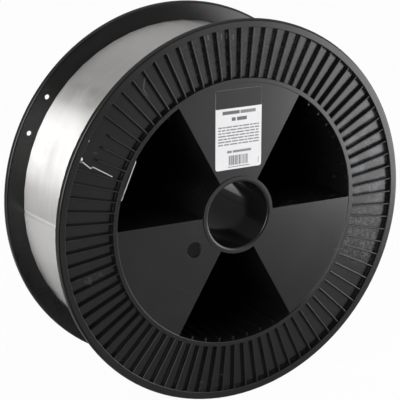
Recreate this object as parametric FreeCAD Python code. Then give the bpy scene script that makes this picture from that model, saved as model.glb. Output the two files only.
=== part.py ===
"""Moulded plastic wire spool with its wound welding wire, standing on its two flange rims.

The spool's axis lies along Y and the origin is the bore's centre at half the spool's width.
-Y is the labelled front face and +Z is up. Every length is in millimetres, every angle in degrees.
Angles round the axis are counted from +X towards +Z, as seen from the front.
Depths are counted inwards from the front face.
"""
import FreeCAD, Part
import math
import os

# Overall sizes of the spool
FLANGE_RADIUS = 150.0
FLANGE_HEIGHT = 44.0
SPOOL_WIDTH = 103.0
FLANGE_THICKNESS = 5.5
RIM_FACE_WIDTH = 6.25
RIM_CORNER_RADIUS = 1.5
ROUNDING_BANDS = 2

# Ribbed ring of each flange
POCKET_DEPTH = 4.0
RIB_COUNT = 84
RIB_THICKNESS = 1.3
RIB_DROP = 0.7

# Barrel under the wire, hub tube and the six chambers between them
BARREL_WALL = 3.4
BORE_RADIUS = 26.0
BORE_MOUTH_RADIUS = 1.9
HUB_WALL = 4.6
CHAMBER_COUNT = 6
CHAMBER_WALL = 1.9
CHAMBER_CORNER_RADIUS = 1.0
ARM_DROP = 0.6
ARM_THICKNESS = 2.4

# Stiffening ribs inside the barrel, in each chamber
BARREL_RIBS = 7
BARREL_RIB_PITCH = 7.05
BARREL_RIB_THICKNESS = 1.4
BARREL_RIB_HEIGHT = 2.0
BARREL_RIB_DEPTH = 4.0

# Blank pad for a wire end in each ribbed ring, on the centre line of one window
PAD_ANGLE = 149.2
PAD_RIBS = 3
PAD_LENGTH = 13.55
ANCHOR_HOLE_INSET = 2.45
ANCHOR_HOLE_RADIUS = 2.0
SIGHT_HOLE_RADIUS = 0.8
FRONT_ANCHOR_OFFSET = 5.9
BACK_ANCHOR_OFFSET = 6.3

# Hole through one arm of each face for the driving pin, a little off the arm's middle line
DRIVE_CIRCLE_RADIUS = 44.0
DRIVE_HOLE_OFFSET = 0.9
DRIVE_HOLE_RADIUS = 6.1
DRIVE_MOUTH_RADIUS = 0.4

# Wire
WIRE_RADIUS = 0.6
WIRE_SIDES = 8
BEND_CHORDS = 2
MITRED = 1
WINDING_BELOW_RIM = 14.5
WINDING_CLEARANCE = 0.05
# Outer end of the wire: insets from the rim's inner edge and angles from its anchor hole
OUTER_END_BEND = 1.0
KINK_TOP_INSET = 11.55
KINK_TOP_ANGLE = 1.5
KINK_FOOT_INSET = 12.95
KINK_FOOT_ANGLE = 0.8
OUTER_END_INSET = 30.35
OUTER_END_ANGLE = 2.0

# Inner end of the wire: insets from the barrel's inner face and angles round the axis
START_END_BEND = 1.1
START_HOLE_RADIUS = 1.4
START_HOLE_DEPTH = 9.0
START_HOLE_ANGLE = 145.8
START_FOOT_INSET = 1.4
START_RUN_INSET = 2.0
START_RUN_ANGLE = 148.4
START_TIP_INSET = 1.6
START_TIP_ANGLE = 165.6
START_RIB_CLEARANCE = 0.4

# Label
LABEL_WIDTH = 40.0
LABEL_ABOVE_HUB = 6.3
LABEL_BELOW_BARREL = 4.4
LABEL_THICKNESS = 0.12
LABEL_CORNER_RADIUS = 2.0
LABEL_CENTRE_X = -0.2

FULL_TURN = 360.0
AXIS = FreeCAD.Vector(0, 1, 0)
CENTRE = FreeCAD.Vector(0, 0, 0)
HALF_WIDTH = SPOOL_WIDTH / 2
RIM_INNER_RADIUS = FLANGE_RADIUS - RIM_FACE_WIDTH
BARREL_RADIUS = FLANGE_RADIUS - FLANGE_HEIGHT
BARREL_BORE = BARREL_RADIUS - BARREL_WALL
HUB_RADIUS = BORE_RADIUS + HUB_WALL
PAD_INNER_RADIUS = RIM_INNER_RADIUS - PAD_LENGTH
ANCHOR_CIRCLE_RADIUS = RIM_INNER_RADIUS - ANCHOR_HOLE_INSET
WINDING_RADIUS = FLANGE_RADIUS - WINDING_BELOW_RIM
RIB_PITCH = FULL_TURN / RIB_COUNT
CHAMBER_PITCH = FULL_TURN / CHAMBER_COUNT


def polar(radius, angle, depth=0.0):
    """Point at a radius and an angle round the axis, at a depth behind the front face."""
    turn = math.radians(angle)
    return FreeCAD.Vector(radius * math.cos(turn), depth - HALF_WIDTH, radius * math.sin(turn))


def outwards(angle):
    """Unit vector away from the axis at an angle."""
    return polar(1, angle) - polar(0, angle)


def turn_by(shape, angle):
    """Copy of a shape turned by an angle round the axis, counted as seen from the front."""
    copy = shape.copy()
    copy.rotate(CENTRE, AXIS, -angle)
    return copy


def turn_over(shape):
    """Copy of a front feature moved to the back face, turned over about the pad's centre line."""
    copy = shape.copy()
    copy.rotate(CENTRE, outwards(PAD_ANGLE), FULL_TURN / 2)
    return copy


def corner_arc(before, point, after, radius):
    """Arc tangent to both sides of a corner, with its two ends."""
    to_before = (before - point).normalize()
    to_after = (after - point).normalize()
    half_angle = to_before.getAngle(to_after) / 2
    reach = radius / math.tan(half_angle)
    start = point + to_before * reach
    end = point + to_after * reach
    middle = point + (to_before + to_after).normalize() * (radius / math.sin(half_angle) - radius)
    return Part.Arc(start, middle, end).toShape(), start, end


def rounded_wire(corners):
    """Closed wire through (point, corner radius) pairs, each corner a tangent arc."""
    edges = []
    ends = []
    count = len(corners)
    for i in range(count):
        point, radius = corners[i]
        if radius == 0:
            ends.append((point, point))
            continue
        arc, start, end = corner_arc(corners[i - 1][0], point, corners[(i + 1) % count][0], radius)
        edges.append(arc)
        ends.append((start, end))
    for i in range(count):
        edges.append(Part.LineSegment(ends[i - 1][1], ends[i][0]).toShape())
    return Part.Wire(Part.__sortEdges__(edges))


def turned(section):
    """Solid of revolution round the spool's axis from (radius, depth, corner radius) triples.

    A rounded corner becomes a few conical bands, which look round and keep the mesh light.
    """
    corners = []
    for radius, depth, corner in section:
        corners.append((FreeCAD.Vector(radius, depth - HALF_WIDTH, 0), corner))
    outline = []
    for edge in rounded_wire(corners).OrderedEdges:
        points = [vertex.Point for vertex in edge.Vertexes]
        if isinstance(edge.Curve, Part.Circle):
            points = edge.discretize(ROUNDING_BANDS + 1)
        outline.append(Part.makePolygon(points))
    return Part.Face(Part.Wire(outline)).revolve(CENTRE, AXIS, FULL_TURN)


def spool_blank():
    """Turned outline of the spool: bore, hub, arms, barrel end and flange rim of both faces."""
    front = [
        (BORE_RADIUS, 0, BORE_MOUTH_RADIUS),
        (HUB_RADIUS, 0, 0),
        (HUB_RADIUS, ARM_DROP, 0),
        (BARREL_BORE, ARM_DROP, 0),
        (BARREL_BORE, 0, 0),
        (FLANGE_RADIUS, 0, RIM_CORNER_RADIUS),
        (FLANGE_RADIUS, FLANGE_THICKNESS, RIM_CORNER_RADIUS),
        (BARREL_RADIUS, FLANGE_THICKNESS, 0),
    ]
    back = [(radius, SPOOL_WIDTH - depth, corner) for radius, depth, corner in reversed(front)]
    return turned(front + back)


def ring_sector(inner, outer, side_offset, half_angle, top, bottom):
    """Prism over a ring sector about +X, its straight sides parallel to the radii at half_angle."""
    corners = []
    for radius, side in ((inner, -1), (outer, -1), (outer, 1), (inner, 1)):
        angle = side * (half_angle - math.degrees(math.asin(side_offset / radius)))
        corners.append(polar(radius, angle, top))
    edges = [
        Part.LineSegment(corners[0], corners[1]).toShape(),
        Part.Arc(corners[1], polar(outer, 0, top), corners[2]).toShape(),
        Part.LineSegment(corners[2], corners[3]).toShape(),
        Part.Arc(corners[3], polar(inner, 0, top), corners[0]).toShape(),
    ]
    return Part.Face(Part.Wire(edges)).extrude(AXIS * (bottom - top))


def rib_pocket_corners(radius, first, count):
    """Corners at a radius of neighbouring pockets, counted round from the pad's middle rib.

    The pockets end in flat walls, which leave the true circle by less than a tenth of a millimetre.
    """
    half_width = RIB_PITCH / 2 - math.degrees(math.asin(RIB_THICKNESS / 2 / radius))
    corners = []
    for i in range(first, first + count):
        middle = PAD_ANGLE + (i + 0.5) * RIB_PITCH
        corners.append(polar(radius, middle - half_width))
        corners.append(polar(radius, middle + half_width))
    return corners


def prism(corners, top, bottom):
    """Solid over a closed polygon on the front face's plane, from one depth to another."""
    face = Part.Face(Part.makePolygon(corners + corners[:1]))
    face.translate(AXIS * top)
    return face.extrude(AXIS * (bottom - top))


def rib_pockets(inner, first, count):
    """Cutter for one pocket, or for several with the ribs between them, out to the rim."""
    outer_side = rib_pocket_corners(RIM_INNER_RADIUS, first, count)
    inner_side = rib_pocket_corners(inner, first, count)
    return prism(outer_side + inner_side[::-1], 0, POCKET_DEPTH)


def rib_ring_cutters():
    """Cutters of one face that leave its radial ribs, three of them short beside the pad."""
    above_ribs = prism(rib_pocket_corners(RIM_INNER_RADIUS, 0, RIB_COUNT), 0, RIB_DROP)
    barrel_end = prism(rib_pocket_corners(BARREL_RADIUS, 0, RIB_COUNT), 0, RIB_DROP)
    pocket = rib_pockets(BARREL_RADIUS, 0, 1)
    cutters = [turn_by(pocket, i * RIB_PITCH) for i in range(RIB_COUNT)]
    cutters.append(above_ribs.cut(barrel_end))
    cutters.append(rib_pockets(PAD_INNER_RADIUS, -(PAD_RIBS + 1) // 2, PAD_RIBS + 1))
    return cutters


def chamber_cutter():
    """Cutter about +X for one chamber, open to the front, with stiffening ribs left in the barrel."""
    bottom = SPOOL_WIDTH - ARM_DROP - ARM_THICKNESS
    chamber = ring_sector(HUB_RADIUS, BARREL_BORE, CHAMBER_WALL / 2, CHAMBER_PITCH / 2, 0, bottom)
    along_axis = [e for e in chamber.Edges if abs(e.tangentAt(e.FirstParameter).dot(AXIS)) > 0.999]
    chamber = chamber.makeFillet(CHAMBER_CORNER_RADIUS, along_axis)
    ribs = []
    for i in range(BARREL_RIBS):
        corner = FreeCAD.Vector(BARREL_BORE - BARREL_RIB_HEIGHT, BARREL_RIB_DEPTH - HALF_WIDTH,
                                -BARREL_RIB_THICKNESS / 2)
        rib = Part.makeBox(BARREL_WALL + BARREL_RIB_HEIGHT, bottom, BARREL_RIB_THICKNESS, corner)
        ribs.append(turn_by(rib, (i - (BARREL_RIBS - 1) / 2) * BARREL_RIB_PITCH))
    return chamber.cut(ribs)


def anchor_hole(radius, offset):
    """Cutter through the flange for a small hole on the anchor circle, at an angle from the pad's middle."""
    return Part.makeCylinder(radius, FLANGE_THICKNESS, polar(ANCHOR_CIRCLE_RADIUS, PAD_ANGLE + offset), AXIS)


def drive_hole(arm_angle):
    """Cutter for the driving pin's hole through the arm at an angle, with a rounded mouth."""
    behind = ARM_DROP + ARM_THICKNESS + DRIVE_MOUTH_RADIUS
    above = DRIVE_HOLE_RADIUS + 2 * DRIVE_MOUTH_RADIUS
    cutter = turned([(0, 0, 0), (above, 0, 0), (above, ARM_DROP, 0),
                     (DRIVE_HOLE_RADIUS, ARM_DROP, DRIVE_MOUTH_RADIUS),
                     (DRIVE_HOLE_RADIUS, behind, 0), (0, behind, 0)])
    cutter.translate(outwards(arm_angle + DRIVE_HOLE_OFFSET) * DRIVE_CIRCLE_RADIUS)
    return cutter


def front_holes():
    """Front face: driving hole, anchor hole of the wire's outer end and a small sight hole."""
    return [
        drive_hole(PAD_ANGLE + CHAMBER_PITCH),
        anchor_hole(ANCHOR_HOLE_RADIUS, FRONT_ANCHOR_OFFSET),
        anchor_hole(SIGHT_HOLE_RADIUS, 0),
    ]


def back_holes():
    """Back face, as cut from the front before it is turned over: driving hole and two anchor holes."""
    return [
        drive_hole(PAD_ANGLE + 2 * CHAMBER_PITCH),
        anchor_hole(ANCHOR_HOLE_RADIUS, BACK_ANCHOR_OFFSET),
        anchor_hole(ANCHOR_HOLE_RADIUS, -BACK_ANCHOR_OFFSET),
    ]


def start_hole():
    """Cutter for the radial hole in the barrel where the wire starts."""
    foot = polar(BARREL_BORE - WIRE_RADIUS, START_HOLE_ANGLE, START_HOLE_DEPTH)
    return Part.makeCylinder(START_HOLE_RADIUS, BARREL_WALL + 2 * WIRE_RADIUS, foot, outwards(START_HOLE_ANGLE))


def spool():
    """The one-piece moulded spool, its chambers open in turn to the front and to the back."""
    ribbing = rib_ring_cutters()
    chamber = chamber_cutter()
    cutters = ribbing + [turn_over(c) for c in ribbing]
    for i in range(0, CHAMBER_COUNT, 2):
        cutters.append(turn_by(chamber, PAD_ANGLE + i * CHAMBER_PITCH))
        cutters.append(turn_over(turn_by(chamber, PAD_ANGLE + (i + 1) * CHAMBER_PITCH)))
    cutters += front_holes()
    cutters += [turn_over(c) for c in back_holes()]
    cutters.append(start_hole())
    return spool_blank().cut(cutters).removeSplitter()


def wire_winding():
    """Wound wire between the flanges, as one turned ring on the barrel."""
    inner = BARREL_RADIUS + WINDING_CLEARANCE
    near = FLANGE_THICKNESS + WINDING_CLEARANCE
    far = SPOOL_WIDTH - near
    return turned([(inner, near, 0), (WINDING_RADIUS, near, 0), (WINDING_RADIUS, far, 0), (inner, far, 0)])


def wire_section(centre, direction):
    """Closed outline across the wire, with few sides and the same area as the round wire."""
    sweep = 2 * math.pi / WIRE_SIDES
    corner_radius = WIRE_RADIUS * math.sqrt(sweep / math.sin(sweep))
    across = direction.cross(AXIS)
    if across.Length < 0.5:
        across = FreeCAD.Vector(1, 0, 0)
    across.normalize()
    beside = direction.cross(across)
    corners = []
    for i in range(WIRE_SIDES):
        turn = (i + 0.5) * sweep
        corners.append(centre + (across * math.cos(turn) + beside * math.sin(turn)) * corner_radius)
    return Part.makePolygon(corners + corners[:1])


def bent_wire(points, bend):
    """Wire along straight runs joined by tangent bends of one radius, each bend in a few chords."""
    route = [points[0]]
    for before, point, after in zip(points, points[1:], points[2:]):
        arc, start, end = corner_arc(before, point, after, bend)
        route += arc.discretize(BEND_CHORDS + 1)
    route.append(points[-1])
    path = Part.makePolygon(route)
    section = wire_section(route[0], (route[1] - route[0]).normalize())
    tube = path.makePipeShell([section], True, False, MITRED)
    expected = math.pi * WIRE_RADIUS ** 2 * path.Length
    print("bent wire: length", round(path.Length, 2), "volume share", round(tube.Volume / expected, 4))
    return tube


def wire_outer_end():
    """Free outer end: off the winding at a tangent, out through its anchor hole and along the pad's floor."""
    on_floor = POCKET_DEPTH - WIRE_RADIUS - WINDING_CLEARANCE
    beside_flange = FLANGE_THICKNESS + WIRE_RADIUS + 2 * WINDING_CLEARANCE
    last_turn = WINDING_RADIUS - WIRE_RADIUS
    clear_of_turn = WINDING_RADIUS + WIRE_RADIUS + WINDING_CLEARANCE
    hole_angle = PAD_ANGLE + FRONT_ANCHOR_OFFSET
    free_sweep = math.degrees(math.acos(last_turn / ANCHOR_CIRCLE_RADIUS) - math.acos(last_turn / clear_of_turn))
    points = [
        polar(clear_of_turn, hole_angle + free_sweep, beside_flange),
        polar(ANCHOR_CIRCLE_RADIUS, hole_angle, beside_flange),
        polar(ANCHOR_CIRCLE_RADIUS, hole_angle, on_floor),
    ]
    for inset, angle in ((KINK_TOP_INSET, KINK_TOP_ANGLE), (KINK_FOOT_INSET, KINK_FOOT_ANGLE),
                         (OUTER_END_INSET, OUTER_END_ANGLE)):
        points.append(polar(RIM_INNER_RADIUS - inset, hole_angle + angle, on_floor))
    return bent_wire(points, OUTER_END_BEND)


def wire_start_end():
    """Inner end of the wire: in through the barrel's wall and along its inner face."""
    in_front_of_ribs = BARREL_RIB_DEPTH - WIRE_RADIUS - START_RIB_CLEARANCE
    points = [
        polar(BARREL_RADIUS - WINDING_CLEARANCE, START_HOLE_ANGLE, START_HOLE_DEPTH),
        polar(BARREL_BORE - START_FOOT_INSET, START_HOLE_ANGLE, START_HOLE_DEPTH),
        polar(BARREL_BORE - START_RUN_INSET, START_RUN_ANGLE, in_front_of_ribs),
        polar(BARREL_BORE - START_TIP_INSET, START_TIP_ANGLE, in_front_of_ribs),
    ]
    return bent_wire(points, START_END_BEND)


def label():
    """Thin label on the arm at the top, a rectangle with rounded corners."""
    low_x = LABEL_CENTRE_X - LABEL_WIDTH / 2
    high_x = LABEL_CENTRE_X + LABEL_WIDTH / 2
    low_z = HUB_RADIUS + LABEL_ABOVE_HUB
    high_z = BARREL_BORE - LABEL_BELOW_BARREL
    face_y = ARM_DROP - LABEL_THICKNESS - HALF_WIDTH
    corners = []
    for x, z in ((low_x, low_z), (high_x, low_z), (high_x, high_z), (low_x, high_z)):
        corners.append((FreeCAD.Vector(x, face_y, z), LABEL_CORNER_RADIUS))
    return Part.Face(rounded_wire(corners)).extrude(AXIS * LABEL_THICKNESS)


def write_step(name, shape):
    """Check that a shape is one valid solid and write it to its STEP file."""
    solids = shape.Solids
    if len(solids) != 1 or not solids[0].isValid():
        raise ValueError(name + " is not one valid solid")
    solids[0].exportStep(os.path.join("parts", name + ".step"))
    print(name, "volume cm3", round(solids[0].Volume / 1000, 2))


def main():
    """Build every piece and write it."""
    os.makedirs("parts", exist_ok=True)
    write_step("spool", spool())
    write_step("wire_winding", wire_winding())
    write_step("wire_outer_end", wire_outer_end())
    write_step("wire_start_end", wire_start_end())
    write_step("label", label())


main()
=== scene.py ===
"""Looks and studio for a moulded plastic spool wound full of bright welding wire."""

import logging
import math
import random
from dataclasses import dataclass
from enum import Enum
from typing import Dict, List, Sequence, Tuple

import bmesh
import bpy
from mathutils import Matrix, Vector

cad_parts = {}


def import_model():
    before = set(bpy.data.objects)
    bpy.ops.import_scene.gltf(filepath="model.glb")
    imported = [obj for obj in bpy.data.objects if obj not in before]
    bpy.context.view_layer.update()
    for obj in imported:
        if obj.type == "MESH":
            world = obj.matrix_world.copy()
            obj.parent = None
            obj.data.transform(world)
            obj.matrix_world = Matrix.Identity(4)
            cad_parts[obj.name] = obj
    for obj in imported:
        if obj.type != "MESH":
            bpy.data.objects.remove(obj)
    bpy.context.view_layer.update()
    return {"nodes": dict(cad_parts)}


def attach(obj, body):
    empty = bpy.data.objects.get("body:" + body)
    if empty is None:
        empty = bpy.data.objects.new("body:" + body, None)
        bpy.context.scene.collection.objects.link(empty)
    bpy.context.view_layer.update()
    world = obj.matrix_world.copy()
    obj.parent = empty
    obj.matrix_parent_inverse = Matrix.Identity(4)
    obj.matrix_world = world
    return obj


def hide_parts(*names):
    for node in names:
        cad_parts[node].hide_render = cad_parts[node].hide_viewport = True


LOG = logging.getLogger("wire_spool")
MM = 0.001
ROOT_BODY = "root"
HALF_WIDTH = 51.5 * MM
MERGE_DISTANCE = 1e-6
WIRE_SMOOTH_ANGLE = 60.0

# Corners of the bent wire ends: radius, angle in degrees, and depth behind the front face, in millimetres
OUTER_END_CORNERS = ((136.15, 164.64, 6.2), (141.3, 155.3, 6.2), (140.4, 155.5, 3.35), (132.3, 156.55, 3.35),
                     (130.9, 155.95, 3.35), (113.4, 157.1, 3.35))
START_END_CORNERS = ((105.95, 145.8, 9.0), (101.2, 145.8, 9.0), (100.6, 148.4, 3.0), (101.0, 165.6, 3.0))

Colour = Tuple[float, float, float]
Socket = bpy.types.NodeSocket
Frame = Tuple[Vector, Vector, Vector]


class Slot(Enum):
    """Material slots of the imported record."""

    PLASTIC = "spool_plastic"
    WOUND_WIRE = "wound_wire"
    BENT_WIRE = "bent_wire"
    PAPER = "label_paper"


class NodeBench:
    """Adds and links the nodes of one shader tree."""

    def __init__(self, tree: bpy.types.NodeTree) -> None:
        """Take the tree to work on.

        Args:
            tree: shader tree of a material, a world or a group.
        """
        self.tree = tree

    def add(self, kind: str, **settings: object) -> bpy.types.Node:
        """Add a node and set its plain properties.

        Args:
            kind: node class name without the ShaderNode prefix.
            settings: property names and values.

        Returns:
            The new node.
        """
        node = self.tree.nodes.new(kind if kind.startswith("Node") else "ShaderNode" + kind)
        for name, value in settings.items():
            setattr(node, name, value)
        return node

    def feed(self, socket: Socket, value: object) -> None:
        """Link a socket to an input, or set the input's own value.

        Args:
            socket: input socket.
            value: output socket, number, colour or vector.
        """
        if isinstance(value, bpy.types.NodeSocket):
            self.tree.links.new(value, socket)
        else:
            socket.default_value = value

    def math(self, operation: str, *values: object) -> Socket:
        """Add a Math node.

        Args:
            operation: name of the operation.
            values: numbers or sockets, in order.

        Returns:
            The result socket.
        """
        node = self.add("Math", operation=operation)
        for socket, value in zip(node.inputs, values):
            self.feed(socket, value)
        return node.outputs[0]

    def ramp(self, value: object, low: float, high: float, to_low: float = 0.0,
             to_high: float = 1.0) -> Socket:
        """Map a value smoothly from one range to another and hold it there.

        Args:
            value: number or socket to map.
            low: start of the input range.
            high: end of the input range.
            to_low: result at the start.
            to_high: result at the end.

        Returns:
            The result socket.
        """
        node = self.add("MapRange", interpolation_type="SMOOTHSTEP")
        for name, number in (("Value", value), ("From Min", low), ("From Max", high),
                             ("To Min", to_low), ("To Max", to_high)):
            self.feed(node.inputs[name], number)
        return node.outputs["Result"]

    def band(self, value: object, rise_from: float, rise_to: float, fall_from: float,
             fall_to: float) -> Socket:
        """Mask a stretch of a value with soft ends.

        Args:
            value: number or socket to test.
            rise_from: where the mask starts to grow.
            rise_to: where it reaches one.
            fall_from: where it starts to fade.
            fall_to: where it is back at zero.

        Returns:
            The mask.
        """
        rising = self.ramp(value, rise_from, rise_to)
        return self.math("MULTIPLY", rising, self.ramp(value, fall_from, fall_to, 1.0, 0.0))

    def mix(self, amount: object, first: object, second: object) -> Socket:
        """Blend two colours.

        Args:
            amount: share of the second colour.
            first: colour or socket.
            second: colour or socket.

        Returns:
            The result socket.
        """
        node = self.add("Mix", data_type="RGBA")
        colour_inputs = [socket for socket in node.inputs if socket.type == "RGBA"]
        self.feed(node.inputs[0], amount)
        self.feed(colour_inputs[0], first)
        self.feed(colour_inputs[1], second)
        return next(socket for socket in node.outputs if socket.type == "RGBA")

    def noise(self, vector: object, scale: float, detail: float = 3.0, roughness: float = 0.55) -> Socket:
        """Add a noise pattern.

        Args:
            vector: coordinates.
            scale: pattern scale per metre.
            detail: number of octaves.
            roughness: strength of the finer octaves.

        Returns:
            The factor socket.
        """
        node = self.add("TexNoise")
        self.feed(node.inputs["Vector"], vector)
        self.feed(node.inputs["Scale"], scale)
        self.feed(node.inputs["Detail"], detail)
        self.feed(node.inputs["Roughness"], roughness)
        return node.outputs["Fac"]

    def mapping(self, vector: object, scale: Sequence[float], turn: Sequence[float] = (0, 0, 0)) -> Socket:
        """Stretch and turn coordinates.

        Args:
            vector: coordinates.
            scale: factor along each axis.
            turn: rotation about each axis in radians.

        Returns:
            The mapped coordinates.
        """
        node = self.add("Mapping")
        self.feed(node.inputs["Vector"], vector)
        self.feed(node.inputs["Scale"], scale)
        self.feed(node.inputs["Rotation"], turn)
        return node.outputs["Vector"]


class ScuffGroup:
    """Shader group of hairline scratches and soft smudges, shared by the finishes."""

    NAME = "hairlines_and_smudges"
    STROKES = ((0.6, 9.0), (-0.9, 7.0), (2.1, 11.0))
    STROKE_STRETCH = (1.0, 6.0, 26.0)
    STROKE_SCALE = 1.6
    STROKE_EDGE = (0.69, 0.735)
    SCRATCHED_PATCHES = 26.0
    SCRATCHED_EDGE = (0.52, 0.62)
    SMUDGE_SCALE = 34.0
    SMUDGE_EDGE = (0.46, 0.74)

    @classmethod
    def tree(cls) -> bpy.types.NodeTree:
        """Return the group, built on the first call.

        Returns:
            The node tree with inputs Vector, Hairlines and Smudges and outputs Scratch and Smudge.
        """
        found = bpy.data.node_groups.get(cls.NAME)
        return found if found else cls._build()

    @classmethod
    def _build(cls) -> bpy.types.NodeTree:
        """Build the group.

        Returns:
            The new node tree.
        """
        group = bpy.data.node_groups.new(cls.NAME, "ShaderNodeTree")
        face = group.interface
        face.new_socket(name="Vector", in_out="INPUT", socket_type="NodeSocketVector")
        for name in ("Hairlines", "Smudges"):
            face.new_socket(name=name, in_out="INPUT", socket_type="NodeSocketFloat")
        for name in ("Scratch", "Smudge"):
            face.new_socket(name=name, in_out="OUTPUT", socket_type="NodeSocketFloat")
        bench = NodeBench(group)
        given = bench.add("NodeGroupInput").outputs
        result = bench.add("NodeGroupOutput").inputs
        scratch: object = 0.0
        for turn, scale in cls.STROKES:
            stretches = [scale * share for share in cls.STROKE_STRETCH]
            stretched = bench.mapping(given["Vector"], stretches, (0, turn, 0))
            line = bench.ramp(bench.noise(stretched, cls.STROKE_SCALE, 2.0), *cls.STROKE_EDGE)
            scratch = bench.math("MAXIMUM", scratch, line)
        patches = bench.ramp(bench.noise(given["Vector"], cls.SCRATCHED_PATCHES, 2.0), *cls.SCRATCHED_EDGE)
        scratch = bench.math("MULTIPLY", scratch, patches)
        bench.feed(result["Scratch"], bench.math("MULTIPLY", scratch, given["Hairlines"]))
        smudge = bench.ramp(bench.noise(given["Vector"], cls.SMUDGE_SCALE, 5.0, 0.62), *cls.SMUDGE_EDGE)
        bench.feed(result["Smudge"], bench.math("MULTIPLY", smudge, given["Smudges"]))
        return group


def scuffs(bench: NodeBench, vector: Socket, hairlines: float, smudges: float) -> Tuple[Socket, Socket]:
    """Place the scuff group in a material.

    Args:
        bench: bench of the material's tree.
        vector: coordinates.
        hairlines: strength of the scratches.
        smudges: strength of the smudges.

    Returns:
        The scratch and the smudge mask.
    """
    node = bench.add("Group", node_tree=ScuffGroup.tree())
    bench.feed(node.inputs["Vector"], vector)
    bench.feed(node.inputs["Hairlines"], hairlines)
    bench.feed(node.inputs["Smudges"], smudges)
    return node.outputs["Scratch"], node.outputs["Smudge"]


def new_material(name: str) -> Tuple[bpy.types.Material, NodeBench, bpy.types.Node]:
    """Start a material with one Principled shader.

    Args:
        name: material name.

    Returns:
        The material, the bench of its tree and its shader node.
    """
    material = bpy.data.materials.new(name)
    material.use_nodes = True
    bench = NodeBench(material.node_tree)
    shader = material.node_tree.nodes["Principled BSDF"]
    return material, bench, shader


def rgba(colour: Colour) -> Tuple[float, float, float, float]:
    """Add a full alpha to a colour."""
    return (*colour, 1.0)


class RoundAxisGroup:
    """Shader group that tells where a place lies on the spool."""

    NAME = "round_the_axis"

    @classmethod
    def tree(cls) -> bpy.types.NodeTree:
        """Return the group, built on the first call.

        Returns:
            The node tree with input Vector and outputs Radius, Angle and Depth, in millimetres and degrees.
        """
        found = bpy.data.node_groups.get(cls.NAME)
        return found if found else cls._build()

    @classmethod
    def _build(cls) -> bpy.types.NodeTree:
        """Build the group.

        Returns:
            The new node tree.
        """
        group = bpy.data.node_groups.new(cls.NAME, "ShaderNodeTree")
        group.interface.new_socket(name="Vector", in_out="INPUT", socket_type="NodeSocketVector")
        for name in ("Radius", "Angle", "Depth"):
            group.interface.new_socket(name=name, in_out="OUTPUT", socket_type="NodeSocketFloat")
        bench = NodeBench(group)
        split = bench.add("SeparateXYZ")
        bench.feed(split.inputs[0], bench.add("NodeGroupInput").outputs["Vector"])
        result = bench.add("NodeGroupOutput").inputs
        side, along, up = (split.outputs[axis] for axis in "XYZ")
        squares = bench.math("ADD", bench.math("MULTIPLY", side, side), bench.math("MULTIPLY", up, up))
        bench.feed(result["Radius"], bench.math("DIVIDE", bench.math("SQRT", squares), MM))
        turn = bench.math("DEGREES", bench.math("ARCTAN2", bench.math("MULTIPLY", side, -1.0), up))
        bench.feed(result["Angle"], bench.math("ADD", turn, 90.0))
        bench.feed(result["Depth"], bench.math("DIVIDE", bench.math("ADD", along, HALF_WIDTH), MM))
        return group


@dataclass(frozen=True)
class SmearOrSheen:
    """One worn, dusty or scratched place, or a painted sheen or painted highlight, in degrees round the axis
    and millimetres from it.
    """

    start: float
    end: float
    inner: float
    outer: float
    strength: float
    lean: float = 0.0
    soft_angle: float = 0.15
    soft_radius: float = 0.4
    grain: float = 0.0
    shallow: float = 3.8
    deep: float = 4.3
    soft_depth: float = 0.1
    grain_edge: Tuple[float, float] = (0.42, 0.66)
    tone: Colour = (0.17, 0.17, 0.174)

    def mask(self, bench: NodeBench, place: Socket, where: Dict[str, Socket]) -> Socket:
        """Build the mask of this place.

        Args:
            bench: bench of the material's tree.
            place: coordinates.
            where: outputs of the round-the-axis group.

        Returns:
            The strength inside and zero outside.
        """
        outwards = bench.math("SUBTRACT", where["Radius"], self.inner)
        leaning = bench.math("SUBTRACT", where["Angle"], bench.math("MULTIPLY", outwards, self.lean))
        found: object = self.strength
        for value, low, high, soft in ((leaning, self.start, self.end, self.soft_angle),
                                       (where["Radius"], self.inner, self.outer, self.soft_radius),
                                       (where["Depth"], self.shallow, self.deep, self.soft_depth)):
            inside = bench.band(value, low - soft, low + soft, high - soft, high + soft)
            found = bench.math("MULTIPLY", found, inside)
        if self.grain > 0:
            grains = bench.ramp(bench.noise(place, self.grain, 3.0, 0.6), *self.grain_edge)
            found = bench.math("MULTIPLY", found, grains)
        return found


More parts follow.
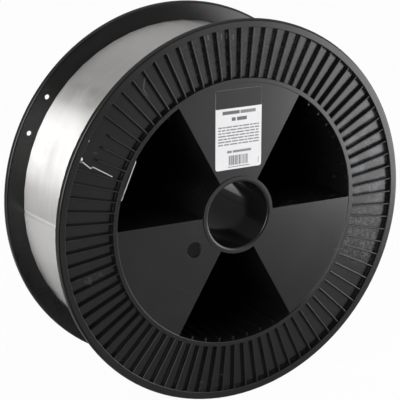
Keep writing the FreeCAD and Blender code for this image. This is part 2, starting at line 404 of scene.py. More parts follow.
# Front-face marks: real scratches, scuffs and dust, plus a painted bluish sheen on the right pocket floors
# and painted highlights along the rim and ring edges
FRONT_SMEARS_AND_SHEENS = (
    # painted sheen: a bluish painted reflection on the right pocket floors
    SmearOrSheen(-5.0, 31.0, 106.0, 143.0, 0.42, soft_angle=5.0, soft_radius=3.0, grain=70.0,
          tone=(0.17, 0.173, 0.195)),
    # mottled dust on the right pocket floors, partly painted reflection
    SmearOrSheen(-26.0, -6.0, 104.0, 142.0, 0.5, soft_angle=4.0, soft_radius=3.0, grain=600.0),
    SmearOrSheen(60.0, 112.0, 106.0, 142.0, 0.12, soft_angle=6.0, soft_radius=3.0, grain=330.0),
    SmearOrSheen(126.2, 126.7, 131.0, 137.0, 0.5, lean=-0.4),
    SmearOrSheen(126.6, 127.0, 124.5, 131.0, 0.45, lean=-0.05),
    SmearOrSheen(99.9, 100.3, 138.4, 142.2, 0.6),
    SmearOrSheen(95.4, 95.8, 136.2, 140.4, 0.6),
    SmearOrSheen(93.6, 94.0, 136.2, 140.4, 0.5),
    SmearOrSheen(91.2, 91.6, 134.6, 138.4, 0.5),
    SmearOrSheen(179.0, 179.6, 132.2, 136.6, 0.8),
    SmearOrSheen(192.5, 195.5, 117.0, 124.0, 0.2, soft_angle=1.0, soft_radius=2.0, grain=500.0),
    SmearOrSheen(193.0, 196.5, 125.0, 131.0, 0.22, soft_angle=1.0, soft_radius=2.0, grain=500.0),
    SmearOrSheen(151.4, 151.8, 131.5, 134.5, 0.16),
    # painted highlights: light lines along the rim's inner edge and the ring's inner edge on the left, then
    # along the ring's inner edge at the lower right
    SmearOrSheen(150.0, 245.0, 143.2, 144.1, 0.1, soft_angle=8.0, soft_radius=0.2, shallow=-0.5, deep=1.0),
    SmearOrSheen(165.0, 245.0, 102.0, 103.0, 0.12, soft_angle=8.0, soft_radius=0.2, shallow=-0.5, deep=1.0),
    SmearOrSheen(-52.0, 10.0, 101.6, 103.4, 0.22, soft_angle=8.0, soft_radius=0.8, shallow=-0.5, deep=1.0),
)


def where_on_spool(bench: NodeBench, vector: Socket) -> Dict[str, Socket]:
    """Place the round-the-axis group in a material.

    Args:
        bench: bench of the material's tree.
        vector: coordinates.

    Returns:
        The group's outputs by name.
    """
    node = bench.add("Group", node_tree=RoundAxisGroup.tree())
    bench.feed(node.inputs["Vector"], vector)
    return {socket.name: socket for socket in node.outputs}


@dataclass(frozen=True)
class PlasticFinish:
    """Satin black moulded plastic with handling marks, a painted sheen on the right pocket floors and painted
    highlights along ring edges.
    """

    name: str = "satin_black_plastic"
    body: Colour = (0.006, 0.006, 0.0062)
    dust: Colour = (0.06, 0.06, 0.063)
    roughness: float = 0.24
    smoother: float = 0.02
    rougher: float = 0.03
    flow_scale: float = 9.0
    bore_edge: float = 26.6
    bore_edge_width: float = 0.4
    bore_polish: float = 0.13
    grain_scale: float = 2600.0
    grain_strength: float = 0.12
    grain_height: float = 0.00006
    hairlines: float = 0.55
    smudges: float = 0.3
    scratch_dust: float = 0.75
    smudge_dust: float = 0.12
    smudge_roughness: float = 0.12
    smears_and_sheens: Tuple[SmearOrSheen, ...] = FRONT_SMEARS_AND_SHEENS

    def material(self) -> bpy.types.Material:
        """Build the material.

        Returns:
            The new material.
        """
        material, bench, shader = new_material(self.name)
        place = bench.add("TexCoord").outputs["Object"]
        scratch, smudge = scuffs(bench, place, self.hairlines, self.smudges)
        flow = bench.noise(place, self.flow_scale, 2.0)
        marked = bench.math("ADD", bench.math("MULTIPLY", scratch, self.scratch_dust),
                            bench.math("MULTIPLY", smudge, self.smudge_dust))
        tone = bench.mix(marked, rgba(self.body), rgba(self.dust))
        where = where_on_spool(bench, place)
        # wear marks, painted sheen and painted edge highlights, laid one over another
        for smear_or_sheen in self.smears_and_sheens:
            tone = bench.mix(smear_or_sheen.mask(bench, place, where), tone, rgba(smear_or_sheen.tone))
        bench.feed(shader.inputs["Base Color"], tone)
        flowing = bench.ramp(flow, 0.3, 0.7, self.roughness - self.smoother, self.roughness + self.rougher)
        rough = bench.math("ADD", flowing, bench.math("MULTIPLY", smudge, self.smudge_roughness))
        bore_start = self.bore_edge - self.bore_edge_width
        polish = bench.ramp(where["Radius"], bore_start, self.bore_edge, self.bore_polish, 0.0)
        rough = bench.math("SUBTRACT", rough, polish)
        bench.feed(shader.inputs["Roughness"], rough)
        bump = bench.add("Bump")
        bump.inputs["Strength"].default_value = self.grain_strength
        bump.inputs["Distance"].default_value = self.grain_height
        bench.feed(bump.inputs["Height"], bench.noise(place, self.grain_scale, 2.0))
        bench.feed(shader.inputs["Normal"], bump.outputs["Normal"])
        return material


@dataclass(frozen=True)
class SteelFinish:
    """Drawn bright steel wire; where a crossing is set, with a painted highlight on it and painted lighter
    reflection below it.
    """

    name: str
    bright: Colour
    dull: Colour
    roughness: float
    unevenness: float = 0.0
    streak_scale: Tuple[float, float, float] = (9.0, 260.0, 9.0)
    cloud_scale: float = 22.0
    cloud_roughness: float = 0.08
    crease_angle: float = 0.0
    crease_lean: float = 2.47 / 91.9
    # painted highlight on the crossing line, and painted lighter reflection on the turns below it
    crease_highlight: Colour = (0.97, 0.965, 0.95)
    crease_highlight_reach: Tuple[float, float, float, float] = (-1.1, -0.7, 0.3, 0.7)
    below_crease_highlight: Colour = (0.8, 0.795, 0.785)
    below_highlight_reach: Tuple[float, float, float, float] = (-0.2, 0.4, 24.0, 60.0)
    # darker blotchy patch of turns above the crossing
    dark_patch: Colour = (0.4, 0.375, 0.355)
    dark_patch_reach: Tuple[float, float, float, float] = (-50.0, -45.0, -41.0, -37.0)
    dark_patch_scale: float = 45.0
    dark_patch_strength: float = 0.55

    def material(self) -> bpy.types.Material:
        """Build the material.

        Returns:
            The new material.
        """
        material, bench, shader = new_material(self.name)
        place = bench.add("TexCoord").outputs["Object"]
        streaks = bench.noise(bench.mapping(place, self.streak_scale), 1.0, 2.0)
        cloud = bench.math("MULTIPLY", bench.ramp(bench.noise(place, self.cloud_scale, 4.0), 0.35, 0.7),
                           bench.ramp(streaks, 0.3, 0.7, 0.4, 1.0))
        tone = bench.mix(cloud, rgba(self.bright), rgba(self.dull))
        if self.crease_angle > 0:
            tone = self.crossed(bench, place, tone)
        bench.feed(shader.inputs["Base Color"], tone)
        shader.inputs["Metallic"].default_value = 1.0
        dullest = self.roughness + self.cloud_roughness
        bench.feed(shader.inputs["Roughness"], bench.ramp(cloud, 0.0, 1.0, self.roughness, dullest))
        if self.unevenness > 0:
            bump = bench.add("Bump")
            bump.inputs["Strength"].default_value = 1.0
            bump.inputs["Distance"].default_value = self.unevenness
            bench.feed(bump.inputs["Height"], streaks)
            bench.feed(shader.inputs["Normal"], bump.outputs["Normal"])
        return material

    def crossed(self, bench: NodeBench, place: Socket, tone: Socket) -> Socket:
        """Paint a highlight on the line where the turns cross over and lighter reflection on the turns below
        it, and darken a blotchy patch above.

        Args:
            bench: bench of the material's tree.
            place: coordinates.
            tone: colour of the plain wire.

        Returns:
            The new colour.
        """
        where = where_on_spool(bench, place)
        off_middle = bench.math("SUBTRACT", where["Depth"], HALF_WIDTH / MM)
        lean = bench.math("MULTIPLY", off_middle, self.crease_lean)
        past = bench.math("SUBTRACT", bench.math("SUBTRACT", where["Angle"], lean), self.crease_angle)
        # painted lighter reflection below the crossing and a painted highlight along the crossing line
        below = bench.band(past, *self.below_highlight_reach)
        line = bench.band(past, *self.crease_highlight_reach)
        # darker blotchy patch above the crossing
        spots = bench.ramp(bench.noise(place, self.dark_patch_scale, 2.0), 0.38, 0.66, 0.0, self.dark_patch_strength)
        patch = bench.math("MULTIPLY", bench.band(past, *self.dark_patch_reach), spots)
        tone = bench.mix(patch, tone, rgba(self.dark_patch))
        tone = bench.mix(below, tone, rgba(self.below_crease_highlight))
        return bench.mix(line, tone, rgba(self.crease_highlight))


@dataclass(frozen=True)
class PaperFinish:
    """Coated paper or printing ink of one tone."""

    name: str
    tone: Colour
    worn: Colour
    roughness: float = 0.42
    gloss: float = 0.5
    fibre_scale: float = 900.0
    fibre_share: float = 0.25
    fibre_roughness: float = 0.06

    def material(self) -> bpy.types.Material:
        """Build the material.

        Returns:
            The new material.
        """
        material, bench, shader = new_material(self.name)
        place = bench.add("TexCoord").outputs["Object"]
        fibre = bench.ramp(bench.noise(place, self.fibre_scale, 3.0), 0.3, 0.8, 0.0, self.fibre_share)
        bench.feed(shader.inputs["Base Color"], bench.mix(fibre, rgba(self.tone), rgba(self.worn)))
        roughest = self.roughness + self.fibre_roughness
        bench.feed(shader.inputs["Roughness"],
                   bench.ramp(fibre, 0.0, self.fibre_share, self.roughness, roughest))
        shader.inputs["Specular IOR Level"].default_value = self.gloss
        return material


def finish_mesh(name: str, bm: bmesh.types.BMesh, material: bpy.types.Material,
                smooth_angle: float = 40.0) -> bpy.types.Object:
    """Make a finished piece of a bmesh: named, shaded, dressed and riding on the spool.

    Args:
        name: piece name.
        bm: mesh to use, freed here.
        material: finish of the whole piece.
        smooth_angle: edges below this angle in degrees look smooth.

    Returns:
        The new object.
    """
    mesh = bpy.data.meshes.new(name)
    bm.to_mesh(mesh)
    bm.free()
    carried_normals = mesh.attributes.get("custom_normal")
    if carried_normals:
        mesh.attributes.remove(carried_normals)
    mesh.polygons.foreach_set("use_smooth", [True] * len(mesh.polygons))
    mesh.set_sharp_from_angle(angle=math.radians(smooth_angle))
    mesh.materials.append(material)
    piece = bpy.data.objects.new(name, mesh)
    bpy.context.scene.collection.objects.link(piece)
    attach(piece, ROOT_BODY)
    LOG.info("%s: %d faces", name, len(mesh.polygons))
    return piece


def sweep_round(stations: Sequence[Frame], radius: float, sides: int) -> bmesh.types.BMesh:
    """Roll a flat grid into a round tube along a line of stations.

    Args:
        stations: centre and the two directions of the section, station by station.
        radius: tube radius.
        sides: number of sides.

    Returns:
        The closed tube.
    """
    bm = bmesh.new()
    lengths = len(stations) - 1
    bmesh.ops.create_grid(bm, x_segments=lengths, y_segments=sides, size=1.0)
    for vert in bm.verts:
        station = round((vert.co.x + 1) / 2 * lengths)
        turn = round((vert.co.y + 1) / 2 * sides) % sides * math.tau / sides
        centre, across, up = stations[station]
        vert.co = centre + radius * (math.cos(turn) * across + math.sin(turn) * up)
    seam_gap = radius / 20
    bmesh.ops.remove_doubles(bm, verts=bm.verts[:], dist=seam_gap)
    open_edges = [edge for edge in bm.edges if edge.is_boundary]
    bmesh.ops.holes_fill(bm, edges=open_edges, sides=sides)
    bmesh.ops.recalc_face_normals(bm, faces=bm.faces[:])
    return bm


@dataclass
class SpoolBody:
    """Moulded spool: the CAD shape with its edges softened as they leave the mould."""

    plastic: bpy.types.Material
    merge_distance: float = 2e-6
    level_tolerance: float = 0.01 * MM
    flat_angle: float = 0.6
    sharp_angle: float = 36.0
    rib_edge_radius: float = 0.55 * MM
    other_edge_share: float = 0.3
    ring_edge_share: float = 0.7
    rounding_shares: Tuple[Tuple[float, float, float], ...] = ((26.0, 28.2, 0.85), (148.3, 150.2, 1.0))
    rounding_angle: float = 15.0
    arm_face: float = HALF_WIDTH - 0.6 * MM
    edge_segments: int = 4
    rib_drop: float = 0.7 * MM
    radial_share: float = 0.9
    light_edge_radii: Tuple[float, ...] = (143.75, 102.6)
    light_edge_reach: float = 0.3

    def build(self, node: bpy.types.Object) -> List[bpy.types.Object]:
        """Copy, merge and soften the CAD spool.

        Args:
            node: the spool of the frame.

        Returns:
            The one piece, which stands for the CAD spool.
        """
        bm = bmesh.new()
        bm.from_mesh(node.data)
        bmesh.ops.remove_doubles(bm, verts=bm.verts[:], dist=self.merge_distance)
        bmesh.ops.dissolve_limit(bm, angle_limit=math.radians(self.flat_angle), use_dissolve_boundaries=False,
                                 verts=bm.verts[:], edges=bm.edges[:])
        self.weigh_edges(bm)
        piece = finish_mesh("moulded_spool", bm, self.plastic, self.sharp_angle)
        softening = piece.modifiers.new("softened_edges", "BEVEL")
        softening.width = self.rib_edge_radius
        softening.segments = self.edge_segments
        softening.limit_method = "WEIGHT"
        softening.use_clamp_overlap = False
        flattening = piece.modifiers.new("flat_faces_stay_flat", "WEIGHTED_NORMAL")
        flattening.mode = "FACE_AREA"
        flattening.weight = 100
        flattening.keep_sharp = True
        cutting = piece.modifiers.new("even_triangles", "TRIANGULATE")
        cutting.ngon_method = "BEAUTY"
        cutting.min_vertices = 5
        cutting.keep_custom_normals = True
        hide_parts("spool")
        return [piece]

    def lies_at(self, edge: bmesh.types.BMEdge, distance: float) -> bool:
        """Tell whether both ends of an edge lie at a distance from the spool's middle plane."""
        return all(abs(abs(vert.co.y) - distance) < self.level_tolerance for vert in edge.verts)

    def weigh_edges(self, bm: bmesh.types.BMesh) -> None:
        """Mark every sharp edge for rounding, the long edges of the rib tops the most.

        Args:
            bm: merged mesh of the spool.
        """
        weight = bm.edges.layers.float.new("bevel_weight_edge")
        rib_top = HALF_WIDTH - self.rib_drop
        rounding_angle = math.radians(self.rounding_angle)
        sharp_angle = math.radians(self.sharp_angle)
        for edge in bm.edges:
            if not edge.is_manifold or edge.calc_face_angle(0.0) < rounding_angle:
                continue
            reaches = [math.hypot(vert.co.x, vert.co.z) / MM for vert in edge.verts]
            rounded = [share for low, high, share in self.rounding_shares
                       if low < min(reaches) and max(reaches) < high]
            if rounded:
                edge[weight] = rounded[0]
                continue
            if self.lies_at(edge, self.arm_face) or edge.calc_face_angle(0.0) < sharp_angle:
                continue
            along = (edge.verts[1].co - edge.verts[0].co).normalized()
            middle = (edge.verts[0].co + edge.verts[1].co) / 2
            radial = abs(along.dot(Vector((middle.x, 0, middle.z)).normalized())) > self.radial_share
            out = math.hypot(middle.x, middle.z) / MM
            near_ring = any(abs(out - light) < self.light_edge_reach for light in self.light_edge_radii)
            if radial and self.lies_at(edge, rib_top):
                edge[weight] = 1.0
            elif near_ring and abs(abs(middle.y) - HALF_WIDTH) < self.level_tolerance:
                edge[weight] = self.ring_edge_share
            else:
                edge[weight] = self.other_edge_share


@dataclass
class WireCoil:
    """Wound wire: one wire laid turn by turn over the layers beneath."""

    steel: bpy.types.Material
    outer_radius: float = 135.5 * MM
    inner_radius: float = 106.05 * MM
    half_width: float = 45.95 * MM
    wire_radius: float = 0.6 * MM
    turns: int = 76
    flat_steps: int = 54
    crossing_steps: int = 12
    sides: int = 8
    crossing_front: float = 179.0
    crossing_back: float = 181.47
    crossing_sweep: float = 1.6
    crossing_rise: float = 0.12 * MM
    settling_sweep: float = 60.0
    free_end_angle: float = 164.65
    tangent_angle: float = 173.01
    first_crossing: float = 162.4
    under_layer_drop: float = 1.0 * MM
    under_layer_steps: int = 128

    def centre_radius(self, angle: float) -> float:
        """Distance of the wire's centre from the axis.

        Args:
            angle: way round from the start of the first turn, in degrees.

        Returns:
            The radius, growing where the free end lifts off at a tangent.
        """
        laid = self.outer_radius - self.crossing_rise - self.wire_radius
        if angle >= self.tangent_angle:
            return laid
        return laid / math.cos(math.radians(self.tangent_angle - angle))

    def eased(self, part: float) -> float:
        """Smooth a share from 0 to 1 at both of its ends."""
        return part * part * (3 - 2 * part)

    def angles(self) -> List[Tuple[float, float, float]]:
        """List the stations as an angle, a number of turns stepped over and a rise.

        Returns:
            Degrees, steps along the axis, and how far the wire rides up where it crosses the turn beneath.
        """
        found: List[Tuple[float, float, float]] = []
        start = self.free_end_angle
        for turn in range(self.turns):
            share = turn / (self.turns - 1)
            lean = self.crossing_front + (self.crossing_back - self.crossing_front) * share
            crossing = (self.first_crossing if turn == 0 else lean) + 360 * (turn + 1)
            end = crossing - self.crossing_sweep / 2
            steps = max(2, round((end - start) / 360 * self.flat_steps))
            for step in range(steps + 1):
                angle = start + (end - start) * step / steps
                settled = min((angle - start) / self.settling_sweep, 1.0)
                rise = 0.0 if turn == 0 else self.crossing_rise * (1 - self.eased(settled))
                found.append((angle, float(turn), rise))
            if turn < self.turns - 1:
                for step in range(1, self.crossing_steps):
                    part = step / self.crossing_steps
                    share_over = self.eased(part)
                    angle = end + self.crossing_sweep * part
                    found.append((angle, turn + share_over, self.crossing_rise * share_over))
            start = crossing + self.crossing_sweep / 2
        return found

    def stations(self) -> List[Frame]:
        """Turn the stations into centres and section directions.

        Returns:
            One frame for each station.
        """
        first = -self.half_width + self.wire_radius
        pitch = -2 * first / (self.turns - 1)
        centres: List[Vector] = []
        outwards: List[Vector] = []
        for angle, stepped, rise in self.angles():
            way = math.radians(angle)
            out = Vector((math.cos(way), 0, math.sin(way)))
            outwards.append(out)
            centres.append(out * (self.centre_radius(angle) + rise) + Vector((0, first + pitch * stepped, 0)))
        found: List[Frame] = []
        for index, centre in enumerate(centres):
            before = centres[max(index - 1, 0)]
            after = centres[min(index + 1, len(centres) - 1)]
            along = (after - before).normalized()
            across = outwards[index].cross(along).normalized()
            found.append((centre, across, along.cross(across)))
        return found

    def build(self) -> List[bpy.types.Object]:
        """Make the top layer's wire and the layers beneath it.

        Returns:
            The two pieces, which stand for the CAD winding.
        """
        wire = finish_mesh("top_layer_wire", sweep_round(self.stations(), self.wire_radius, self.sides),
                           self.steel, WIRE_SMOOTH_ANGLE)
        under = finish_mesh("layers_beneath", self.under_layers(), self.steel)
        for piece in (wire, under):
            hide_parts("wire_winding")
        return [wire, under]

    def under_layers(self) -> bmesh.types.BMesh:
        """Roll a flat grid into the solid ring of the layers beneath, in the same order each run.

        Returns:
            The closed ring.
        """
        bm = bmesh.new()
        outer = self.outer_radius - self.under_layer_drop
        corners = ((outer, -self.half_width), (outer, self.half_width), (self.inner_radius, self.half_width),
                   (self.inner_radius, -self.half_width))
        steps = self.under_layer_steps
        bmesh.ops.create_grid(bm, x_segments=steps, y_segments=len(corners), size=1.0)
        for vert in bm.verts:
            turn = round((vert.co.x + 1) / 2 * steps) % steps * math.tau / steps
            radius, depth = corners[round((vert.co.y + 1) / 2 * len(corners)) % len(corners)]
            vert.co = (radius * math.cos(turn), depth, radius * math.sin(turn))
        bmesh.ops.remove_doubles(bm, verts=bm.verts[:], dist=MERGE_DISTANCE)
        bmesh.ops.recalc_face_normals(bm, faces=bm.faces[:])
        return bm


@dataclass
class BentEnd:
    """One end of the wire: straight runs joined by tight bends."""

    name: str
    node: str
    steel: bpy.types.Material
    corners: Sequence[Tuple[float, float, float]]
    bend_radius: float
    wire_radius: float = 0.6
    front_face: float = -51.5
    bend_steps: int = 6
    sides: int = 12

    def corner_points(self) -> List[Vector]:
        """Turn each corner's radius, angle and depth behind the front face into a point in millimetres."""
        points: List[Vector] = []
        for radius, angle, depth in self.corners:
            way = math.radians(angle)
            points.append(Vector((radius * math.cos(way), self.front_face + depth, radius * math.sin(way))))
        return points

    def line(self) -> List[Vector]:
        """Round the corners.

        Returns:
            Points along the wire's centre line in millimetres.
        """
        points = self.corner_points()
        found = [points[0]]
        for before, corner, after in zip(points, points[1:], points[2:]):
            back = (before - corner).normalized()
            ahead = (after - corner).normalized()
            half = back.angle(ahead) / 2
            reach = self.bend_radius / math.tan(half)
            centre = corner + (back + ahead).normalized() * (self.bend_radius / math.sin(half))
            first = corner + back * reach - centre
            last = corner + ahead * reach - centre
            for step in range(self.bend_steps + 1):
                found.append(centre + first.slerp(last, step / self.bend_steps))
        found.append(points[-1])
        return found

    def build(self) -> List[bpy.types.Object]:
        """Sweep the wire along its line.

        Returns:
            The one piece, which stands for the CAD wire end.
        """
        line = self.line()
        stations: List[Frame] = []
        across = (line[1] - line[0]).orthogonal().normalized()
        for index, centre in enumerate(line):
            along = (line[min(index + 1, len(line) - 1)] - line[max(index - 1, 0)]).normalized()
            across = (across - along * across.dot(along)).normalized()
            stations.append((centre * MM, across, along.cross(across)))
        tube = sweep_round(stations, self.wire_radius * MM, self.sides)
        piece = finish_mesh(self.name, tube, self.steel, WIRE_SMOOTH_ANGLE)
        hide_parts(self.node)
        return [piece]


@dataclass(frozen=True)
class Mark:
    """One printed rectangle on the label, in millimetres across and up."""

    left: float
    right: float
    low: float
    high: float


@dataclass
class PaperLabel:
    """Paper label with a dark header band, plain grey rules and a block of upright bars."""

    paper: bpy.types.Material
    band: bpy.types.Material
    outline: bpy.types.Material
    dark_ink: bpy.types.Material
    pale_ink: bpy.types.Material
    left: float = -20.2
    right: float = 19.8
    low: float = 36.9
    high: float = 98.2
    band_low: float = 84.0
    face: float = -51.02
    thickness: float = 0.12
    corner: float = 2.0
    corner_steps: int = 6
    band_corner_share: float = 0.4
    ink_lift: float = 0.012
    outline_width: float = 0.25
    strong_marks: Tuple[Mark, ...] = (
        Mark(-14.3, 0.5, 79.4, 82.0), Mark(-6.3, -2.9, 74.2, 76.9), Mark(-1.7, 6.8, 74.2, 76.9))
    faint_marks: Tuple[Mark, ...] = (
        Mark(1.2, 14.5, 79.4, 81.9), Mark(-10.2, -6.2, 49.7, 51.5), Mark(-5.2, 10.8, 49.7, 51.5),
        Mark(-9.4, 9.4, 38.5, 39.1), Mark(17.0, 17.5, 39.4, 43.9))
    fine_rows: int = 7
    row_left: float = -17.9
    row_right: float = 17.6
    row_last_start: float = 16.2
    row_top: float = 69.8
    row_pitch: float = 2.22
    row_height: float = 1.0
    dash_lengths: Tuple[float, float] = (2.2, 6.8)
    dash_gaps: Tuple[float, float] = (0.5, 0.9)
    bars: Mark = Mark(-8.6, 8.8, 40.2, 47.6)
    bars_last_start: float = 8.4
    bar_widths: Tuple[float, ...] = (0.3, 0.45, 0.7, 0.9)
    bar_gaps: Tuple[float, ...] = (0.3, 0.4, 0.6)
    seed: int = 11

    def plate(self, mark: Mark, front: float, back: float, corner: float = 0.0) -> bmesh.types.BMesh:
        """Make a thin upright plate.

        Args:
            mark: outline in millimetres.
            front: depth of its front face in millimetres.
            back: depth of its back face in millimetres.
            corner: radius of its corners in millimetres.

        Returns:
            The closed plate.
        """
        bm = bmesh.new()
        size = Vector((mark.right - mark.left, back - front, mark.high - mark.low)) * MM
        centre = Vector(((mark.left + mark.right) / 2, (front + back) / 2, (mark.low + mark.high) / 2)) * MM
        place = Matrix.Translation(centre) @ Matrix.Diagonal((*size, 1.0))
        bmesh.ops.create_cube(bm, size=1.0, matrix=place)
        if corner > 0:
            along_depth = [edge for edge in bm.edges
                           if abs((edge.verts[0].co - edge.verts[1].co).y) > MERGE_DISTANCE]
            bmesh.ops.bevel(bm, geom=along_depth, offset=corner * MM, offset_type="OFFSET",
                            segments=self.corner_steps, profile=0.5, affect="EDGES", material=-1)
        return bm

    def join(self, meshes: Sequence[bmesh.types.BMesh]) -> bmesh.types.BMesh:
        """Put several plates into one mesh.

        Args:
            meshes: plates, freed here.

        Returns:
            The joined mesh.
        """
        whole = bmesh.new()
        for part in meshes:
            carrier = bpy.data.meshes.new("carrier")
            part.to_mesh(carrier)
            part.free()
            whole.from_mesh(carrier)
            bpy.data.meshes.remove(carrier)
        return whole

    def row_marks(self, chance: random.Random) -> List[Mark]:
        """Lay out the block of fine rows as plain dashes of uneven length.

        Args:
            chance: source of the lengths.

        Returns:
            The dashes.
        """
        marks: List[Mark] = []
        for row in range(self.fine_rows):
            middle = self.row_top - row * self.row_pitch
            low = middle - self.row_height / 2
            high = middle + self.row_height / 2
            at = self.row_left
            while at < self.row_last_start:
                length = min(chance.uniform(*self.dash_lengths), self.row_right - at)
                marks.append(Mark(at, at + length, low, high))
                at += length + chance.uniform(*self.dash_gaps)
        return marks

    def bar_marks(self, chance: random.Random) -> List[Mark]:
        """Lay out the block of upright bars.

        Args:
            chance: source of the widths.

        Returns:
            The bars.
        """
        marks: List[Mark] = []
        at = self.bars.left
        while at < self.bars_last_start:
            width = chance.choice(self.bar_widths)
            marks.append(Mark(at, min(at + width, self.bars.right), self.bars.low, self.bars.high))
            at += width + chance.choice(self.bar_gaps)
        return marks

    def printed(self, name: str, marks: Sequence[Mark], ink: bpy.types.Material) -> bpy.types.Object:
        """Make all marks of one ink as one piece.

        Args:
            name: piece name.
            marks: rectangles to print.
            ink: finish of the marks.

        Returns:
            The new piece.
        """
        plates = [self.plate(mark, self.face - self.ink_lift, self.face) for mark in marks]
        return finish_mesh(name, self.join(plates), ink)

    def build(self) -> List[bpy.types.Object]:
        """Make the paper, the header band with its outline, and the print.

        Returns:
            The pieces; the paper stands for the CAD label.
        """
        chance = random.Random(self.seed)
        back = self.face + self.thickness
        lift = self.ink_lift
        band_corner = self.corner * self.band_corner_share
        body = Mark(self.left, self.right, self.low, self.high)
        header = Mark(self.left + self.outline_width, self.right - self.outline_width, self.band_low,
                      self.high - self.outline_width)
        line = Mark(self.left, self.right, self.band_low, self.high)
        sheet = self.plate(body, self.face, back, self.corner)
        paper = finish_mesh("label_sheet", sheet, self.paper)
        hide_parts("label")
        edge = finish_mesh("header_outline", self.plate(line, self.face - lift, self.face, band_corner),
                           self.outline)
        band = finish_mesh("header_band", self.plate(header, self.face - 2 * lift, self.face, band_corner),
                           self.band)
        dark = self.printed("dark_rules", (*self.strong_marks, *self.bar_marks(chance)), self.dark_ink)
        pale = self.printed("fine_rules", (*self.faint_marks, *self.row_marks(chance)), self.pale_ink)
        return [paper, edge, band, dark, pale]


@dataclass(frozen=True)
class Lamp:
    """One soft rectangular lamp."""

    name: str
    place: Tuple[float, float, float]
    aim: Tuple[float, float, float]
    size: Tuple[float, float]
    power: float


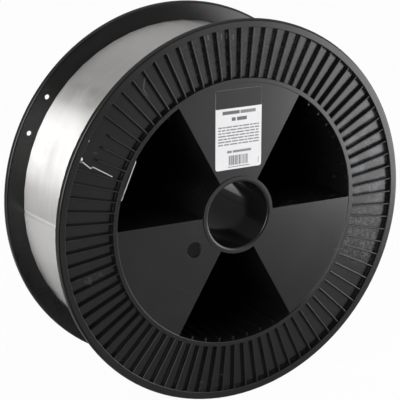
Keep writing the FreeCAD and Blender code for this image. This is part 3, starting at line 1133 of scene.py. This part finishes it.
@dataclass
class Studio:
    """White floor, pale surroundings, soft lamps and the camera."""

    floor_level: float = -0.15
    floor_half: float = 7.0
    floor_tone: Colour = (0.86, 0.86, 0.86)
    floor_glow: float = 0.96
    mirrored_glow: float = 0.1
    sky_level: float = 0.42
    zenith_level: float = 0.62
    shade_level: float = 0.08
    back_level: float = 0.2
    back_floor_shade: float = 0.65
    back_floor_edge: Tuple[float, float] = (0.05, 0.35)
    front_floor_shade: float = 0.38
    front_floor_edge: Tuple[float, float] = (-0.4, -0.15)
    near_floor_shade: float = 0.9
    zenith_edge: Tuple[float, float] = (0.45, 0.85)
    back_edge: Tuple[float, float] = (0.1, 0.5)
    low_sky_edge: Tuple[float, float] = (0.6, 0.9)
    left_edge: Tuple[float, float, float] = (-0.14, -0.05, 0.0)
    shade_from: float = -34.0
    shade_to: float = 10.0
    shade_blend: float = 9.0
    camera_place: Tuple[float, float, float] = (-0.51977, -0.91236, 0.31750)
    camera_right: Tuple[float, float, float] = (0.87079, -0.49166, 0.0)
    camera_up: Tuple[float, float, float] = (0.14298, 0.25323, 0.95679)
    camera_look: Tuple[float, float, float] = (0.47041, 0.83316, -0.29081)
    focal_length: float = 124.5175
    sensor: float = 36.0
    lamps: Tuple[Lamp, ...] = (
        Lamp("front_right_card", (0.452, -0.341, 0.0), (0.0, -0.05, 0.0), (0.36, 0.29), 1.2),
        Lamp("front_right_halo", (0.425, -0.375, 0.01), (0.0, -0.05, 0.0), (0.6, 0.31), 0.5),
        Lamp("right_softbox", (1.1, -0.25, 0.6), (0.0, 0.0, 0.0), (0.8, 0.9), 1.3),
        Lamp("left_softbox", (-1.18, -0.55, 0.43), (0.0, 0.0, 0.0), (1.3, 0.95), 9.6),
        Lamp("left_softbox_core", (-1.13, -0.527, 0.412), (0.0, 0.0, 0.0), (0.35, 0.9), 2.8),
        Lamp("back_floor_card", (0.35, 0.65, -0.146), (0.35, 0.65, 1.0), (1.1, 0.9), 3.2),
    )

    def floor(self) -> bpy.types.Object:
        """Lay the white floor.

        Returns:
            The floor.
        """
        bm = bmesh.new()
        bmesh.ops.create_grid(bm, x_segments=1, y_segments=1, size=self.floor_half,
                              matrix=Matrix.Translation((0, 0, self.floor_level)))
        mesh = bpy.data.meshes.new("floor")
        bm.to_mesh(mesh)
        bm.free()
        mesh.materials.append(self.floor_material())
        floor = bpy.data.objects.new("floor", mesh)
        bpy.context.scene.collection.objects.link(floor)
        return floor

    def floor_material(self) -> bpy.types.Material:
        """Mix the floor's own white with an even glow where it is seen, mirrored or looked through, and paint
        shade on the mirrored floor behind the spool, to its right and on the camera side.

        Returns:
            The new material.
        """
        material, bench, shader = new_material("white_floor")
        shader.inputs["Base Color"].default_value = rgba(self.floor_tone)
        shader.inputs["Roughness"].default_value = 0.9
        shader.inputs["Specular IOR Level"].default_value = 0.0
        glow = bench.add("Emission")
        glow.inputs["Strength"].default_value = 1.0
        rays = bench.add("LightPath").outputs
        mirrored = bench.math("MULTIPLY", rays["Is Glossy Ray"], self.mirrored_glow)
        seen = bench.math("MAXIMUM", rays["Is Camera Ray"],
                          bench.math("MAXIMUM", mirrored, rays["Is Transmission Ray"]))
        blend = bench.add("MixShader")
        bench.feed(blend.inputs["Fac"], bench.math("MULTIPLY", seen, self.floor_glow))
        bench.feed(blend.inputs[1], shader.outputs["BSDF"])
        bench.feed(blend.inputs[2], glow.outputs["Emission"])
        # painted shade: the floor as mirrored goes darker behind the spool, to its right and on the camera
        # side
        unlit = bench.add("BsdfDiffuse")
        unlit.inputs["Color"].default_value = (0.0, 0.0, 0.0, 1.0)
        shaded = bench.add("MixShader")
        split = bench.add("SeparateXYZ")
        place = bench.add("TexCoord").outputs["Object"]
        bench.feed(split.inputs[0], place)
        behind = bench.ramp(split.outputs["Y"], *self.back_floor_edge, 0.0, self.back_floor_shade)
        beside = bench.ramp(split.outputs["X"], *self.front_floor_edge, 0.0, self.front_floor_shade)
        shade = bench.math("MAXIMUM", behind, beside)
        left_edge = bench.add("VectorMath", operation="SUBTRACT")
        bench.feed(left_edge.inputs[0], place)
        left_edge.inputs[1].default_value = self.left_edge
        near = self.camera_side(bench, left_edge.outputs["Vector"])
        near = bench.math("MULTIPLY", near, self.near_floor_shade)
        shade = bench.math("MAXIMUM", shade, near)
        bench.feed(shaded.inputs["Fac"], bench.math("MULTIPLY", shade, rays["Is Glossy Ray"]))
        bench.feed(shaded.inputs[1], blend.outputs["Shader"])
        bench.feed(shaded.inputs[2], unlit.outputs["BSDF"])
        output = next(node for node in material.node_tree.nodes if node.type == "OUTPUT_MATERIAL")
        bench.feed(output.inputs["Surface"], shaded.outputs["Shader"])
        return material

    def camera_side(self, bench: NodeBench, vector: Socket) -> Socket:
        """Mask the dim side of the room, behind the camera.

        Args:
            bench: bench of the tree.
            vector: place or direction.

        Returns:
            One inside the dim sector and zero outside it.
        """
        split = bench.add("SeparateXYZ")
        bench.feed(split.inputs[0], vector)
        turn = bench.math("ARCTAN2", split.outputs["X"], bench.math("MULTIPLY", split.outputs["Y"], -1.0))
        start = math.radians(self.shade_from)
        end = math.radians(self.shade_to)
        blend = math.radians(self.shade_blend)
        return bench.band(turn, start - blend, start, end, end + blend)

    def surroundings(self) -> None:
        """Set the pale surroundings."""
        world = bpy.data.worlds.new("pale_surroundings")
        bpy.context.scene.world = world
        world.use_nodes = True
        bench = NodeBench(world.node_tree)
        background = world.node_tree.nodes["Background"]
        background.inputs["Color"].default_value = (1.0, 1.0, 1.0, 1.0)
        direction = bench.add("TexCoord").outputs["Generated"]
        split = bench.add("SeparateXYZ")
        bench.feed(split.inputs[0], direction)
        level = bench.ramp(split.outputs["Z"], *self.zenith_edge, self.sky_level, self.zenith_level)
        lit = bench.ramp(self.camera_side(bench, direction), 0.0, 1.0, 1.0, self.shade_level / self.sky_level)
        behind = bench.ramp(split.outputs["Y"], *self.back_edge, 1.0, self.back_level / self.sky_level)
        lit = bench.math("MULTIPLY", lit, behind)
        low = bench.ramp(split.outputs["Z"], *self.low_sky_edge, 1.0, 0.0)
        dimmed = bench.math("ADD", bench.math("MULTIPLY", lit, low), bench.math("SUBTRACT", 1.0, low))
        bench.feed(background.inputs["Strength"], bench.math("MULTIPLY", level, dimmed))

    def light(self, lamp: Lamp) -> None:
        """Hang one lamp.

        Args:
            lamp: its place, aim, size and power.
        """
        data = bpy.data.lights.new(lamp.name, "AREA")
        data.shape = "RECTANGLE"
        data.size, data.size_y = lamp.size
        data.energy = lamp.power
        fitting = bpy.data.objects.new(lamp.name, data)
        fitting.location = lamp.place
        fitting.rotation_euler = (Vector(lamp.aim) - Vector(lamp.place)).to_track_quat("-Z", "Y").to_euler()
        fitting.visible_camera = False
        bpy.context.scene.collection.objects.link(fitting)

    def camera(self) -> None:
        """Set the camera of the photograph."""
        data = bpy.data.cameras.new("photo_camera")
        data.lens = self.focal_length
        data.sensor_width = self.sensor
        data.clip_end = 100.0
        camera = bpy.data.objects.new("photo_camera", data)
        back = -Vector(self.camera_look)
        axes = Matrix((self.camera_right, self.camera_up, back)).transposed().to_4x4()
        camera.matrix_world = Matrix.Translation(self.camera_place) @ axes
        bpy.context.scene.collection.objects.link(camera)
        bpy.context.scene.camera = camera

    def build(self) -> None:
        """Set up the whole studio."""
        self.floor()
        self.surroundings()
        for lamp in self.lamps:
            self.light(lamp)
        self.camera()
        bpy.context.scene.view_settings.view_transform = "Standard"


def main() -> None:
    """Build and dress the spool, set the studio and log the pieces."""
    logging.basicConfig(level=logging.INFO)
    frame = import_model()
    nodes: Dict[str, bpy.types.Object] = frame["nodes"]
    plastic = PlasticFinish().material()
    coil_steel = SteelFinish("wound_bright_steel", (0.61, 0.6, 0.59), (0.54, 0.535, 0.53), 0.28,
                             unevenness=0.00012, crease_angle=180.24).material()
    end_steel = SteelFinish("bent_bright_steel", (0.86, 0.85, 0.84), (0.76, 0.755, 0.75), 0.34).material()
    spool = SpoolBody(plastic)
    LOG.info("SpoolBody: %s", ", ".join(piece.name for piece in spool.build(nodes["spool"])))
    outer_end = BentEnd("bent_outer_end", "wire_outer_end", end_steel, OUTER_END_CORNERS, bend_radius=0.9)
    start_end = BentEnd("bent_start_end", "wire_start_end", end_steel, START_END_CORNERS, bend_radius=1.1)
    coil = WireCoil(coil_steel)
    label = PaperLabel(
        paper=PaperFinish("coated_white_paper", (0.8, 0.795, 0.81), (0.76, 0.755, 0.77)).material(),
        band=PaperFinish("black_header_print", (0.014, 0.014, 0.016), (0.02, 0.02, 0.022), 0.34,
                         gloss=0.36).material(),
        outline=PaperFinish("header_line_print", (0.08, 0.08, 0.085), (0.065, 0.065, 0.07), 0.4).material(),
        dark_ink=PaperFinish("dark_grey_ink", (0.12, 0.12, 0.13), (0.16, 0.16, 0.17)).material(),
        pale_ink=PaperFinish("pale_grey_ink", (0.22, 0.22, 0.23), (0.28, 0.28, 0.29)).material(),
    )
    for group in (coil, outer_end, start_end, label):
        pieces = group.build()
        LOG.info("%s: %s", type(group).__name__, ", ".join(piece.name for piece in pieces))
    Studio().build()


if __name__ == "__main__":
    main()
